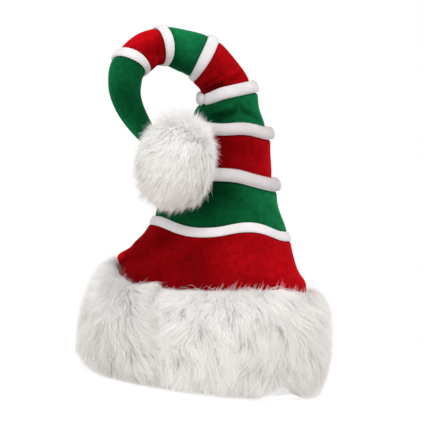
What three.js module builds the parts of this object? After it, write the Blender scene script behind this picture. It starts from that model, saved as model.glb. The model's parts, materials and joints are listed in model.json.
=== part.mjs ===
// A striped plush Santa hat that stands on its fur cuff. Red and green velour bands are joined by rolls of
// white piping, the crown curls over to the left and forward, and a fur pompom is sewn to the tip.
// Millimetres, +Z up, front towards -Y. The origin is the middle of the footprint.

import * as THREE from 'three';

// Driving dimensions
const CLOTH = 2.2; // thickness of the velour wall
const GAP = 0.3; // clearance between pieces that are sewn together
const ALLOWANCE = 0.6; // half thickness of a piping's edge where it is sewn in
const PUFF = 1.6; // how far a band swells between its seams
const CROWN_FACETS = 32; // round the standing bands
const CROOK_FACETS = 24; // round the curled bands

// Sections of the crown, from the hem to the sewn tip. x, y and z are the middle of the section. lean tips it
// from upright towards the left and turn brings it forward, in degrees. half is its half width and round its
// depth as a share of that. roll is the half thickness of the piping on a seam and proud its height there.
const SECTIONS = [
  { x: 0, y: 0, z: 4.5, lean: 0, turn: 0, half: 98.5, round: 0.9, roll: 0, proud: 0 },
  { x: 0, y: 0, z: 55, lean: 0, turn: 0, half: 98.5, round: 0.9, roll: 0, proud: 0 },
  { x: 0, y: 0, z: 104, lean: 0, turn: 0, half: 98.5, round: 0.9, roll: 0, proud: 0 },
  { x: -1, y: 0, z: 131, lean: 0, turn: 0, half: 86, round: 0.89, roll: 0, proud: 0 },
  { x: 1, y: 0, z: 160, lean: 0, turn: 0, half: 72, round: 0.88, roll: 5.2, proud: 2 },
  { x: -3, y: 0, z: 213.6, lean: 1, turn: 0, half: 54.5, round: 0.88, roll: 6.8, proud: 6.5 },
  { x: -4.5, y: 0, z: 264, lean: 5, turn: 0, half: 43, round: 0.88, roll: 6.4, proud: 6.3 },
  { x: -9.5, y: -1, z: 303, lean: 19, turn: 6, half: 28.5, round: 0.94, roll: 6.2, proud: 4.6 },
  { x: -39.8, y: -5, z: 334.4, lean: 69, turn: 10, half: 23.5, round: 0.97, roll: 5.6, proud: 3.1 },
  { x: -82.3, y: -19, z: 340.2, lean: 108, turn: 25, half: 19.3, round: 1, roll: 5, proud: 2.5 },
  { x: -110, y: -38, z: 316.4, lean: 161, turn: 24, half: 18.2, round: 1, roll: 5.2, proud: 2.6 },
  { x: -113.5, y: -47.5, z: 293.4, lean: 182, turn: 22, half: 16.6, round: 1, roll: 0, proud: 0 },
  { x: -106, y: -56, z: 272, lean: 205, turn: 22, half: 13.6, round: 1, roll: 0, proud: 0 },
  { x: -86.5, y: -67.5, z: 248, lean: 226, turn: 22, half: 10.4, round: 1, roll: 0, proud: 0 },
  { x: -70, y: -75.4, z: 235.6, lean: 233, turn: 21, half: 8.4, round: 1, roll: 0, proud: 0 },
];

// Bands of cloth between sections, by the numbers of their rows above. inside lists the levels of a long band's
// own sections, and a short band is divided evenly.
const RED = 0xa80a12;
const GREEN = 0x0f5f36;
const WHITE = 0xe6e1e2;
const BANDS = [
  { name: 'band_1_red', first: 0, last: 4, inside: [1, 2, 2.5, 3], colour: RED },
  { name: 'band_2_green', first: 4, last: 5, colour: GREEN },
  { name: 'band_3_red', first: 5, last: 6, colour: RED },
  { name: 'band_4_green', first: 6, last: 7, colour: GREEN },
  { name: 'band_5_red', first: 7, last: 8, colour: RED },
  { name: 'band_6_green', first: 8, last: 9, colour: GREEN },
  { name: 'band_7_red', first: 9, last: 10, colour: RED },
  { name: 'band_8_green', first: 10, last: 14, inside: [11, 12, 13], colour: GREEN },
];
const LAST_STANDING_ROW = 7;

// Waves, dents and gathers of the cloth. level is a place between rows of SECTIONS and angle the degrees round
// the section, from the outer side of the curl (0) by the front (90) to the inner side (180). A fold fades out
// over reach rows and spread degrees. lift moves the cloth along the crown and swell moves it outwards.
const FOLDS = [
  { level: 2.5, reach: 0.5, angle: 176, spread: 24, lift: 0, swell: 9 },
  { level: 2.6, reach: 0.6, angle: 148, spread: 20, lift: 0, swell: -4 },
  { level: 4, reach: 0.9, angle: 113, spread: 42, lift: -6.5, swell: 0 },
  { level: 4, reach: 0.9, angle: 62, spread: 34, lift: 5.5, swell: 0 },
  { level: 4, reach: 0.9, angle: 240, spread: 40, lift: 4, swell: 0 },
  { level: 4, reach: 0.9, angle: 300, spread: 40, lift: -4, swell: 0 },
  { level: 5, reach: 0.9, angle: 79, spread: 26, lift: 1.2, swell: 0 },
  { level: 5, reach: 0.9, angle: 25, spread: 60, lift: -3.5, swell: 0 },
  { level: 6, reach: 0.8, angle: 25, spread: 60, lift: -4, swell: 0 },
  { level: 6, reach: 0.8, angle: 100, spread: 45, lift: -3.2, swell: 0 },
  { level: 3, reach: 0.6, angle: 176, spread: 40, lift: 0, swell: 2 },
  { level: 4.5, reach: 0.45, angle: 8, spread: 55, lift: 0, swell: -3.5 },
  { level: 5.5, reach: 0.45, angle: 0, spread: 55, lift: 0, swell: -1.6 },
  { level: 6.5, reach: 0.45, angle: 0, spread: 55, lift: 0, swell: -5 },
  { level: 7.5, reach: 0.45, angle: 0, spread: 60, lift: 0, swell: -3 },
  { level: 8.5, reach: 0.45, angle: 0, spread: 60, lift: 0, swell: -2.5 },
  { level: 6.5, reach: 0.4, angle: 60, spread: 45, lift: 0, swell: -2 },
  { level: 7.5, reach: 0.4, angle: 180, spread: 60, lift: 0, swell: -2.5 },
  { level: 9.5, reach: 0.4, angle: 165, spread: 60, lift: 0, swell: -2.5 },
];

// Section of a piping. along runs with the cloth, as a share of the roll. out stands off the cloth, as a share
// of proud above it and of the roll below it. At the last of these corners the roll narrows to its sewn edge.
const ROLL_CORNERS = [
  { along: 0.48, out: 1 },
  { along: 1, out: 0.36 },
  { along: 0.59, out: -0.365 },
];
const TUCK_DEPTH = 0.87; // how deep a band's edge is drawn in at a seam, as a share of the roll
const TUCK_LENGTH = 1.27; // how far from the seam the drawn-in edge starts, as a share of the roll

// Fur of the cuff. Its backing is folded in under the hem, and its locks hang in tiers from the top edge to
// the floor. out is the distance from the cloth and z the height, of the locks' tips, of the notches between
// them and of the roots of the next tier, which the tips hang over.
const CUFF_LOCKS = 32; // in each tier
const CUFF_LIP = 3.4; // how far the backing is folded in under the hem
const CUFF_LIP_HEIGHT = 4.2;
const CUFF_TOP = 97;
const CUFF_FOOT = 21; // width of the flat that the hat rests on, out from the cloth
const CUFF_TIERS = [
  { tipOut: 8.5, tipZ: 109, notchOut: 6, notchZ: 102, rootOut: 15, rootZ: 92 },
  { tipOut: 30.5, tipZ: 69, notchOut: 25, notchZ: 76, rootOut: 23, rootZ: 72 },
  { tipOut: 34.5, tipZ: 45, notchOut: 29, notchZ: 52, rootOut: 26, rootZ: 49 },
  { tipOut: 35.5, tipZ: 22, notchOut: 30, notchZ: 29, rootOut: 26.5, rootZ: 26 },
  { tipOut: 33, tipZ: 2, notchOut: 28, notchZ: 6, rootOut: CUFF_FOOT, rootZ: 0 },
];
const CUFF_DIP = { angle: 125, spread: 62, drop: 9 }; // the top edge hangs lower at the front
const LOCK_SCATTER = 2.2; // how far the tips of locks stray

// Pompom: tiers of locks that run from the sewn tip to the far end. polar is in degrees from the sewn tip, and
// reach is a share of the way from the middle to the outermost fur.
const POMPOM_CENTRE = new THREE.Vector3(-50, -85, 220.5);
const POMPOM_HALF = new THREE.Vector3(43, 40, 51.5); // to the tips of the fur
const POMPOM_LOCKS = 16; // in each tier
const POMPOM_TIERS = [
  { tipPolar: 44, tipReach: 0.97, notchPolar: 34, notchReach: 0.88, rootPolar: 39, rootReach: 0.83 },
  { tipPolar: 70, tipReach: 0.99, notchPolar: 59, notchReach: 0.9, rootPolar: 65, rootReach: 0.85 },
  { tipPolar: 97, tipReach: 1, notchPolar: 86, notchReach: 0.91, rootPolar: 92, rootReach: 0.85 },
  { tipPolar: 124, tipReach: 1, notchPolar: 113, notchReach: 0.91, rootPolar: 119, rootReach: 0.85 },
  { tipPolar: 150, tipReach: 1, notchPolar: 139, notchReach: 0.9, rootPolar: 145, rootReach: 0.85 },
  { tipPolar: 171, tipReach: 1, notchPolar: 162, notchReach: 0.92, rootPolar: 172, rootReach: 0.9 },
];
const POMPOM_FALL = new THREE.Vector3(2, 0, -2.5); // how far the tips hang down
const POCKET_SHARE = 0.25; // of the tip's last stretch, where it leaves the pompom
const POCKET_RIM = { polar: 24, reach: 0.87 };

const COLUMNS = ['x', 'y', 'z', 'lean', 'turn', 'half', 'round'];
const FRONT = new THREE.Vector3(0, -1, 0);
const radians = THREE.MathUtils.degToRad;

// A column of SECTIONS read between its rows, on a smooth curve through them.
function between(column, level) {
  const last = SECTIONS.length - 1;
  const row = THREE.MathUtils.clamp(Math.floor(level), 0, last - 1);
  const at = (index) => SECTIONS[THREE.MathUtils.clamp(index, 0, last)][column];
  const share = level - row;
  const [start, end] = [at(row), at(row + 1)];
  const leave = (end - at(row - 1)) / 2;
  const arrive = (at(row + 2) - start) / 2;
  const square = 3 * (end - start) - 2 * leave - arrive;
  const cube = 2 * (start - end) + leave + arrive;
  return start + share * (leave + share * (square + share * cube));
}

// A smooth hump: 1 at 0, and 0 from 1 outwards.
function hump(distance) {
  return Math.abs(distance) < 1 ? Math.cos((distance * Math.PI) / 2) ** 2 : 0;
}

// Degrees from one angle to another, the short way round.
function turnBetween(from, to) {
  return THREE.MathUtils.euclideanModulo(to - from + 180, 360) - 180;
}

// A number from -1 to 1 that looks random and is the same every time.
function scatter(seed) {
  const wave = Math.sin(seed * 12.9898 + 4.1414) * 43758.5453;
  return 2 * (wave - Math.floor(wave)) - 1;
}

// A point of the crown's outer face. grown is added all round.
function skin(level, angle, grown = 0) {
  const [x, y, z, lean, turn, half, round] = COLUMNS.map((column) => between(column, level));
  const [leanAngle, turnAngle] = [radians(lean), radians(turn)];
  const axis = new THREE.Vector3(
    -Math.sin(leanAngle) * Math.cos(turnAngle),
    -Math.sin(turnAngle),
    Math.cos(leanAngle) * Math.cos(turnAngle),
  );
  const front = FRONT.clone().addScaledVector(axis, -FRONT.dot(axis)).normalize();
  const side = new THREE.Vector3().crossVectors(axis, front);
  let lift = 0;
  let swell = grown;
  for (const fold of FOLDS) {
    const share = hump((level - fold.level) / fold.reach) * hump(turnBetween(angle, fold.angle) / fold.spread);
    lift += fold.lift * share;
    swell += fold.swell * share;
  }
  return new THREE.Vector3(x, y, z)
    .addScaledVector(side, (half + swell) * Math.cos(radians(angle)))
    .addScaledVector(front, (half * round + swell) * Math.sin(radians(angle)))
    .addScaledVector(axis, lift);
}

// The crown's face at a point: the way along the crown, the way out of it, and the millimetres in one row.
function face(level, angle) {
  const step = 0.02;
  const along = skin(level + step, angle).sub(skin(level - step, angle));
  const around = skin(level, angle + 1).sub(skin(level, angle - 1));
  const out = new THREE.Vector3().crossVectors(along, around).normalize();
  const perRow = along.length() / (2 * step);
  return { along: along.normalize(), out, perRow };
}

// Angles round a section
function anglesOf(facets) {
  return Array.from({ length: facets }, (_, index) => (index * 360) / facets);
}

// A band's edge at a seam and one angle. way is 1 where the band starts there and -1 where it ends.
function tuck(row, angle, way) {
  const roll = SECTIONS[row].roll;
  const { along, out, perRow } = face(row, angle);
  const narrow = ROLL_CORNERS[ROLL_CORNERS.length - 1];
  const depth = TUCK_DEPTH * roll;
  const taper = CLOTH / (depth + CLOTH + narrow.out * roll);
  const clear = ALLOWANCE + taper * (narrow.along * roll - ALLOWANCE) + 1.2 * GAP;
  const edge = skin(row, angle).addScaledVector(along, way * clear);
  return {
    outer: edge.clone().addScaledVector(out, -depth),
    inner: edge.clone().addScaledVector(out, -depth - CLOTH),
    shoulder: row + way * Math.min((TUCK_LENGTH * roll) / perRow, 0.42),
  };
}

// Outer and inner points of a band's wall at one angle, from its first section to its last.
function wallAt(band, angle) {
  const start = SECTIONS[band.first].roll ? tuck(band.first, angle, 1) : null;
  const end = SECTIONS[band.last].roll ? tuck(band.last, angle, -1) : null;
  const low = start ? start.shoulder : band.first;
  const high = end ? end.shoulder : band.last;
  const middles = band.first < LAST_STANDING_ROW ? [0.5] : [1 / 3, 2 / 3];
  const inside = band.inside ?? middles.map((share) => low + share * (high - low));
  const levels = [low, ...inside, high];
  const isBetweenSeams = start && end;
  const points = levels.map((level) => {
    const share = (level - low) / (high - low);
    const puff = isBetweenSeams ? PUFF * Math.sin(Math.PI * share) : 0;
    const outer = skin(level, angle, puff);
    return { outer, inner: outer.clone().addScaledVector(face(level, angle).out, -CLOTH) };
  });
  if (start) points.unshift(start);
  if (end) points.push(end);
  return points;
}

// A closed body through loops of points. A ring joins its last loop to its first, and any other body is capped.
function loft(loops, isRing) {
  const count = loops[0].length;
  const points = loops.flat();
  const triangles = [];
  const strips = isRing ? loops.length : loops.length - 1;
  for (let strip = 0; strip < strips; strip += 1) {
    const here = strip * count;
    const next = ((strip + 1) % loops.length) * count;
    for (let step = 0; step < count; step += 1) {
      const after = (step + 1) % count;
      triangles.push(here + step, here + after, next + after, here + step, next + after, next + step);
    }
  }
  const cap = (loop, first, isStart) => {
    const middle = points.length;
    points.push(loop.reduce((sum, point) => sum.add(point), new THREE.Vector3()).divideScalar(count));
    for (let step = 0; step < count; step += 1) {
      const after = (step + 1) % count;
      triangles.push(middle, first + (isStart ? after : step), first + (isStart ? step : after));
    }
  };
  if (!isRing) {
    cap(loops[0], 0, true);
    cap(loops[loops.length - 1], (loops.length - 1) * count, false);
  }
  return facingOut(points, triangles);
}

// A geometry of these points and triangles, turned so that its faces point out.
function facingOut(points, triangles) {
  let volume = 0;
  const corner = new THREE.Vector3();
  for (let index = 0; index < triangles.length; index += 3) {
    const [a, b, c] = [0, 1, 2].map((step) => points[triangles[index + step]]);
    volume += corner.crossVectors(b, c).dot(a);
  }
  const geometry = new THREE.BufferGeometry().setFromPoints(points);
  geometry.setIndex(volume < 0 ? [...triangles].reverse() : triangles);
  return geometry;
}

// Points at each angle turned into loops that run round the section.
function loopsOf(columns) {
  return columns[0].map((_, index) => columns.map((column) => column[index]));
}

// A band of velour: a hollow wall, open at both ends, or closed where the tip is sewn up.
function bandGeometry(band) {
  const facets = band.last <= LAST_STANDING_ROW ? CROWN_FACETS : CROOK_FACETS;
  const walls = anglesOf(facets).map((angle) => wallAt(band, angle));
  const outer = loopsOf(walls.map((wall) => wall.map((point) => point.outer)));
  const inner = loopsOf(walls.map((wall) => wall.map((point) => point.inner)));
  if (band.last < SECTIONS.length - 1) return loft([...outer, ...inner.reverse()], true);
  const endwards = face(band.last, 0).along;
  const innerEnd = inner[inner.length - 1];
  innerEnd.forEach((point) => point.addScaledVector(endwards, -CLOTH));
  return loft([...outer.reverse(), ...inner], false);
}

// A roll of piping round a seam, with its edge sewn in between the two bands.
function pipingGeometry(row) {
  const { roll, proud } = SECTIONS[row];
  const half = ROLL_CORNERS.map((corner) => ({
    along: corner.along * roll,
    out: corner.out * (corner.out > 0 ? proud : roll),
  }));
  half.push({ along: ALLOWANCE, out: -TUCK_DEPTH * roll - CLOTH });
  const corners = [...half, ...half.map((corner) => ({ along: -corner.along, out: corner.out })).reverse()];
  const facets = row <= LAST_STANDING_ROW ? CROWN_FACETS : CROOK_FACETS;
  const columns = anglesOf(facets).map((angle) => {
    const { along, out } = face(row, angle);
    return corners.map((corner) =>
      skin(row, angle).addScaledVector(along, corner.along).addScaledVector(out, corner.out),
    );
  });
  return loft(loopsOf(columns), true);
}

// The tips of a tier of locks as a loop: far out at the middle of each lock, drawn in at the notches between.
function lockLoop(angles, tier, isStaggered, tipAt, notchAt) {
  return angles.map((angle, index) => {
    const isTip = (index + (isStaggered ? 1 : 0)) % 2 === 0;
    return isTip ? tipAt(angle, index + 97 * tier) : notchAt(angle);
  });
}

// The fur cuff: a backing folded in under the hem, with tiers of locks, and flat where it rests.
function cuffGeometry() {
  const hem = 0;
  const angles = anglesOf(2 * CUFF_LOCKS);
  const at = (angle, out, z) => {
    const drop = CUFF_DIP.drop * hump(turnBetween(angle, CUFF_DIP.angle) / CUFF_DIP.spread);
    const isAboveLip = z > CUFF_LIP_HEIGHT;
    return skin(hem, angle, out).setZ(isAboveLip ? z - (drop * z) / CUFF_TOP : z);
  };
  const ring = (out, z) => angles.map((angle) => at(angle, out, z));
  const loops = [ring(GAP, CUFF_TOP)];
  CUFF_TIERS.forEach((tier, row) => {
    const tipAt = (angle, seed) => {
      const out = tier.tipOut + 0.6 * LOCK_SCATTER * scatter(seed);
      const z = Math.max(tier.tipZ + LOCK_SCATTER * scatter(seed + 0.5), 1);
      return at(angle + scatter(seed + 0.25), out, z);
    };
    loops.push(lockLoop(angles, row, row % 2, tipAt, (angle) => at(angle, tier.notchOut, tier.notchZ)));
    loops.push(ring(tier.rootOut, tier.rootZ));
  });
  loops.push(ring(-CUFF_LIP, 0));
  loops.push(ring(-CUFF_LIP, CUFF_LIP_HEIGHT));
  loops.push(ring(GAP, CUFF_LIP_HEIGHT));
  return loft(loops, true);
}

// The pompom: tiers of locks round a pocket where the tip is sewn in.
function pompomGeometry() {
  const last = SECTIONS.length - 1;
  const angles = anglesOf(2 * POMPOM_LOCKS);
  const sewn = new THREE.Vector3(...['x', 'y', 'z'].map((column) => between(column, last - 1)));
  const pole = sewn.sub(POMPOM_CENTRE).divide(POMPOM_HALF).normalize();
  const front = FRONT.clone().addScaledVector(pole, -FRONT.dot(pole)).normalize();
  const side = new THREE.Vector3().crossVectors(front, pole);
  const at = (angle, polar, reach) =>
    pole
      .clone()
      .multiplyScalar(Math.cos(radians(polar)))
      .addScaledVector(side, Math.sin(radians(polar)) * Math.cos(radians(angle)))
      .addScaledVector(front, Math.sin(radians(polar)) * Math.sin(radians(angle)))
      .multiply(POMPOM_HALF)
      .multiplyScalar(reach)
      .add(POMPOM_CENTRE);
  const clearance = 1.2 * GAP;
  const deeper = face(last, 0).along.multiplyScalar(GAP);
  const loops = [
    angles.map((angle) => skin(last, angle, clearance).add(deeper)),
    angles.map((angle) => skin(last - 1, angle, clearance).lerp(skin(last, angle, clearance), POCKET_SHARE)),
    angles.map((angle) => at(angle, POCKET_RIM.polar, POCKET_RIM.reach)),
  ];
  POMPOM_TIERS.forEach((tier, row) => {
    const tipAt = (angle, seed) => {
      const polar = tier.tipPolar + LOCK_SCATTER * scatter(seed);
      const reach = tier.tipReach - 0.03 * (1 + scatter(seed + 0.5));
      return at(angle + LOCK_SCATTER * scatter(seed + 0.25), polar, reach).add(POMPOM_FALL);
    };
    const notchAt = (angle) => at(angle, tier.notchPolar, tier.notchReach);
    loops.push(lockLoop(angles, row, row % 2, tipAt, notchAt));
    loops.push(angles.map((angle) => at(angle, tier.rootPolar, tier.rootReach)));
  });
  return loft(loops, false);
}

// The hat
function piece(name, geometry, colour, roughness) {
  const material = new THREE.MeshStandardMaterial({ color: colour, roughness, metalness: 0 });
  const mesh = new THREE.Mesh(geometry, material);
  mesh.name = name;
  return mesh;
}

const hat = new THREE.Group();
for (const band of BANDS) hat.add(piece(band.name, bandGeometry(band), band.colour, 0.9));
const seams = BANDS.slice(1).map((band) => band.first);
seams.forEach((row, index) => hat.add(piece(`piping_${index + 1}`, pipingGeometry(row), WHITE, 0.95)));
hat.add(piece('fur_cuff', cuffGeometry(), WHITE, 1));
hat.add(piece('pompom', pompomGeometry(), WHITE, 1));

// The middle of the footprint goes to the origin.
const box = new THREE.Box3().setFromObject(hat);
const middle = box.getCenter(new THREE.Vector3());
hat.position.set(-middle.x, -middle.y, -box.min.z);

export default hat;
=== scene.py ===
"""Dresses a striped plush hat in velour, piping and long fur.

The sections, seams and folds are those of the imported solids, so each piece lies where its solid does. Some
forms are added or moved by millimetres: the last two folds, the fold in a piping, fuller pipings near the
tip, the uneven edges of the cuff, and a pompom that is a little smaller and further to the left.

Tables are in millimetres and degrees, and meshes are in metres.
"""

import json
import math

import bmesh
import bpy
import numpy as np
from bpy.props import FloatProperty, FloatVectorProperty, IntProperty, PointerProperty
from mathutils import Euler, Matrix, Vector, kdtree, noise


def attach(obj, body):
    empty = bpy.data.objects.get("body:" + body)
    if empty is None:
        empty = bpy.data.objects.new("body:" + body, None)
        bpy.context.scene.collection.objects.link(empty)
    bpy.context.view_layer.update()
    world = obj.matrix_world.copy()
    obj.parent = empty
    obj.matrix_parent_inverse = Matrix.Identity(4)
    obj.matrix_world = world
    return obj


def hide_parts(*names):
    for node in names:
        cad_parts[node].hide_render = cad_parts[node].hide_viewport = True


bl_info = {
    "name": "Striped Plush Hat",
    "version": (1, 0, 0),
    "blender": (4, 5, 0),
    "location": "View3D > Sidebar > Hat",
    "description": "Dresses a striped hat in velour, piping and long fur",
    "category": "Add Mesh",
}

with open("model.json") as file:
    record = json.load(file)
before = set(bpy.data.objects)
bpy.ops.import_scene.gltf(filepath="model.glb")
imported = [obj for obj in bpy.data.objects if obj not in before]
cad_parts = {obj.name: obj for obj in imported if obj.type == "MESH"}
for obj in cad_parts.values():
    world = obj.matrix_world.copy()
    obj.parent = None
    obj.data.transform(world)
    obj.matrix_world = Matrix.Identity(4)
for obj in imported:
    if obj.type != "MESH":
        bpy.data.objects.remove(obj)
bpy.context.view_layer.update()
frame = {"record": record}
SLOT_COLOURS = {row["slot"]: row["base_color"][:3] for row in frame["record"]["materials"]}


def table(*rows):
    """Rows of numbers that are read by column."""
    return np.array(rows, float)


BODY = "root"
MM = 0.001
SHIFT = np.array([-0.00003, 0.00025, 0.0])  # from the sections' own origin to the middle of the footprint
FRONT = np.array([0.0, -1.0, 0.0])

# Sections of the crown, from the hem to the sewn tip: the middle, the tilts to the left and to the front, the
# half width, the depth as a share of the width, and the half thickness and height of the piping on a seam.
SECTIONS = table(
    # x, y, z, lean, turn, half, depth, roll, proud
    (0, 0, 4.5, 0, 0, 98.5, 0.9, 0, 0),
    (0, 0, 55, 0, 0, 98.5, 0.9, 0, 0),
    (0, 0, 104, 0, 0, 98.5, 0.9, 0, 0),
    (-1, 0, 131, 0, 0, 86, 0.89, 0, 0),
    (1, 0, 160, 0, 0, 72, 0.88, 5.2, 2),
    (-3, 0, 213.6, 1, 0, 54.5, 0.88, 6.8, 6.5),
    (-4.5, 0, 264, 5, 0, 43, 0.88, 6.4, 6.3),
    (-9.5, -1, 303, 19, 6, 28.5, 0.94, 6.6, 4.6),
    (-39.8, -5, 334.4, 69, 10, 23.5, 0.97, 6.2, 3.1),
    (-82.3, -19, 340.2, 108, 25, 19.3, 1, 5.6, 2.5),
    (-110, -38, 316.4, 161, 24, 18.2, 1, 6.1, 2.6),
    (-113.5, -47.5, 293.4, 182, 22, 16.6, 1, 0, 0),
    (-106, -56, 272, 205, 22, 13.6, 1, 0, 0),
    (-86.5, -67.5, 248, 226, 22, 10.4, 1, 0, 0),
    (-70, -75.4, 235.6, 233, 21, 8.4, 1, 0, 0),
)
LEAN, TURN, HALF, DEPTH, ROLL, PROUD = range(3, 9)
LAST_ROW = len(SECTIONS) - 1

# Waves, dents and gathers of the cloth: the place between rows and round the section, how far the fold fades
# out both ways, and how far it moves the cloth along the crown and outwards.
FOLDS = table(
    # level, reach, angle, spread, lift, swell
    (2.5, 0.5, 176, 24, 0, 9),
    (2.6, 0.6, 148, 20, 0, -4),
    (4, 0.9, 113, 42, -6.5, 0),
    (4, 0.9, 62, 34, 5.5, 0),
    (4, 0.9, 240, 40, 4, 0),
    (4, 0.9, 300, 40, -4, 0),
    (5, 0.9, 79, 26, 1.2, 0),
    (5, 0.9, 25, 60, -3.5, 0),
    (6, 0.8, 25, 60, -4, 0),
    (6, 0.8, 100, 45, -3.2, 0),
    (3, 0.6, 176, 40, 0, 2),
    (4.5, 0.45, 8, 55, 0, -3.5),
    (5.5, 0.45, 0, 55, 0, -1.6),
    (6.5, 0.45, 0, 55, 0, -5),
    (7.5, 0.45, 0, 60, 0, -3),
    (8.5, 0.45, 0, 60, 0, -2.5),
    (6.5, 0.4, 60, 45, 0, -2),
    (7.5, 0.4, 180, 60, 0, -2.5),
    (9.5, 0.4, 165, 60, 0, -2.5),
    (7, 0.5, 142, 50, -3.2, 0),
    (2.35, 0.4, 0, 40, 0, 2),
)

# Creases pressed into a band, and ridges where the depth is less than 0.
CREASES = table(
    # start level, start angle, end level, end angle, depth, width
    (6.3, 118, 6.47, 74, 2.4, 3.8),
    (6.47, 74, 6.26, 24, 2.8, 3.6),
    (6.62, 88, 6.5, 40, 1.0, 5),
    (7.32, 150, 7.25, 84, 2.2, 2.2),
    (7.25, 84, 7.33, 14, 2.0, 2.2),
    (7.46, 158, 7.4, 90, 1.5, 2.2),
    (9.42, 112, 9.36, 186, 1.6, 2.2),
    (9.2, 200, 9.75, 176, 1.4, 2.6),
    (8.25, 190, 8.75, 165, 0.9, 3),
    (4.3, 16, 4.62, 48, 1.6, 8),
    (5.3, 150, 5.6, 110, 0.9, 6),
    (2.95, 174, 2.5, 161, 2.4, 2.6),
    (2.5, 161, 2.1, 170, 2.4, 2.6),
    (11.2, 34, 13.4, 42, -1.8, 1.1),
)

# Patches where the nap is lighter or darker, partly brushed nap and partly painted light and shade: the
# pompom's painted shadow on the bands beside it, a painted highlight on the fold at the left, and painted
# shade on the tip.
# Each has the place, how far it fades out both ways, and the tone.
NAP_AND_LIGHT_PATCHES = table(
    # level, reach, angle, spread, tone
    (2.55, 0.55, 180, 24, 0.75),
    (2.4, 0.5, 0, 26, 0.3),
    (4.7, 0.6, 98, 50, -0.27),
    (4.6, 0.6, 35, 40, 0.1),
    (6.5, 0.5, 20, 50, 0.08),
    (5.5, 0.7, 65, 75, -0.22),
    (6.3, 0.4, 110, 45, -0.14),
    (8.5, 0.6, 70, 85, 0.45),
    (9.5, 0.6, 40, 75, 0.33),
    (9.5, 0.6, 150, 50, 0.42),
    (7.5, 0.6, 10, 60, -0.14),
    (12.3, 2, 90, 180, -0.1),
    (12, 1.9, 0, 95, -0.34),
    (12, 1.9, 150, 70, 0.08),
)
SIDE_LIGHT = {"base": 0.25, "share": 0.5, "angle": 5, "spread": 110}  # painted light: the right side of the velour is painted lighter, as if lit from there

# Pieces of velour between rows of SECTIONS, from the cuff to the tip.
BAND_ENDS = [4, 5, 6, 7, 8, 9, 10, LAST_ROW]
BANDS = []
for number, (first_row, last_row) in enumerate(zip([0, *BAND_ENDS], BAND_ENDS), 1):
    dye = "red" if number % 2 else "green"
    names = {"name": f"{dye}_velour_{number}", "node": f"band_{number}_{dye}", "slot": f"{dye}_velour"}
    BANDS.append({**names, "first": first_row, "last": last_row})
SEAM_ROWS = BAND_ENDS[:-1]
CUFF_ROW = 2  # the first row above the fur
CROWN_SEGMENTS = 128
CROOK_SEGMENTS = 108
LAST_STANDING_ROW = 7
RING_STEP = 3.2  # between rings of a band
LEAST_RINGS = 8
FAR = 1000.0  # from a seam, where a band has none
PUFF = 1.6  # how far a band swells between its seams
PUCKER = {"depth": 0.9, "size": 0.011, "start": 6.0, "fade": 7.0}  # gathers at a seam
SAG = {"depth": 1.1, "size": 0.05}  # soft unevenness of stuffed velour
CREASE_LIP = {"away": 1.8, "height": 0.5}  # as shares of a crease's width and depth
MOTTLE = {"share": 0.14, "size": 0.03}  # soft unevenness of the nap
CREASE_SHADE = 0.16  # painted shade: how much darker the nap is painted for each millimetre of a crease
# Next to a piping the band below it is fuller and, up to the last standing row, the band above it is slimmer.
STEP = {"share": 0.35, "reach": 12.0}

# Half of a piping's section. Along the cloth it is a share of the roll. Out of the cloth it is a share of the
# height above it, and of the roll below it.
ROLL_CORNERS = [
    # along, out
    (0.0, 1.0),
    (0.4, 0.97),
    (0.74, 0.78),
    (0.96, 0.46),
    (1.02, 0.1),
    (0.88, -0.14),
    (0.52, -0.42),
]
ROLL_EDGE = 0.6  # half thickness of the edge that is sewn in
ROLL_LUMPS = {"depth": 0.3, "size": 0.016}
ROLL_PINCH = {"angle": 180, "spread": 105, "along": 0.38, "out": 0.55}  # on the inner side of the curl
# A piping is folded on itself here.
ROLL_KINK = {"row": 7, "angle": 149, "spread": 10, "along": 0.3, "out": 0.75}
SEWN_DEPTH = 0.25  # how far a piping's edge goes below the bands' edges, as a share of the roll
TUCK_DEPTH = 0.87
TUCK_LENGTH = {-1: 1.14, 1: 0.95}  # to the shoulder of the band below a piping, and of the one above it
LONGEST_TUCK = 0.42  # of a row

# Profile of the cuff, from its sewn top edge to the floor: the backing that the fur grows from, and the
# outer face that its tips reach. Each row has the share of the way down, the distance from the cloth and the
# height, and in the backing the degrees above level at which the fur leaves it.
BACKING_PROFILE = table(
    (0, 1.2, 94, 85),
    (0.05, 4.5, 99, 75),
    (0.11, 9, 98.5, 50),
    (0.22, 14, 90, 25),
    (0.4, 18, 72, 9),
    (0.6, 20.5, 48, 2),
    (0.8, 19.5, 24, -6),
    (0.93, 16, 8, -18),
    (1, 11, 2, -35),
)
TIP_PROFILE = table(
    (0, 3, 114),
    (0.1, 12, 110),
    (0.2, 21.5, 101),
    (0.32, 29, 88),
    (0.45, 33.5, 71),
    (0.6, 36, 50),
    (0.75, 37, 30),
    (0.87, 36, 13),
    (0.95, 33, 3),
    (1, 28, 0.8),
)
CUFF_TOP = 97
CUFF_LIP = {"out": -3.2, "height": 4.2}
# The top edge hangs lower at the front, and stands higher at the left: the angle, spread and drop.
CUFF_DIPS = table((121, 62, 12), (183, 32, -6))
CUFF_SECTORS = [("front", 90), ("left", 180), ("back", 270), ("right", 0)]
SECTOR_SPREAD = 90
# The fur is parted above the floor, and its left end is lifted: the angle, spread, height and reach upwards.
CUFF_LIFTS = table((47, 21, 13, 32), (182, 46, 10, 42))
# Longer and shorter fur: the share of the way down, its reach, the angle, its spread, and the growth.
CUFF_LENGTHS = table((0.85, 0.4, 178, 40, 0.16), (0.6, 0.8, 4, 60, -0.2))
# The fur is thick at the top edge, and stands up there.
CREST = {"reach": 0.18, "rise": 0.22, "crowding": 1.25}
# Strands of the top edge that stay upright.
WISPS = {"reach": 0.07, "share": 0.035, "lean": 4, "wave": 0.4, "size": 0.009, "shorter": 0.15}
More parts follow.
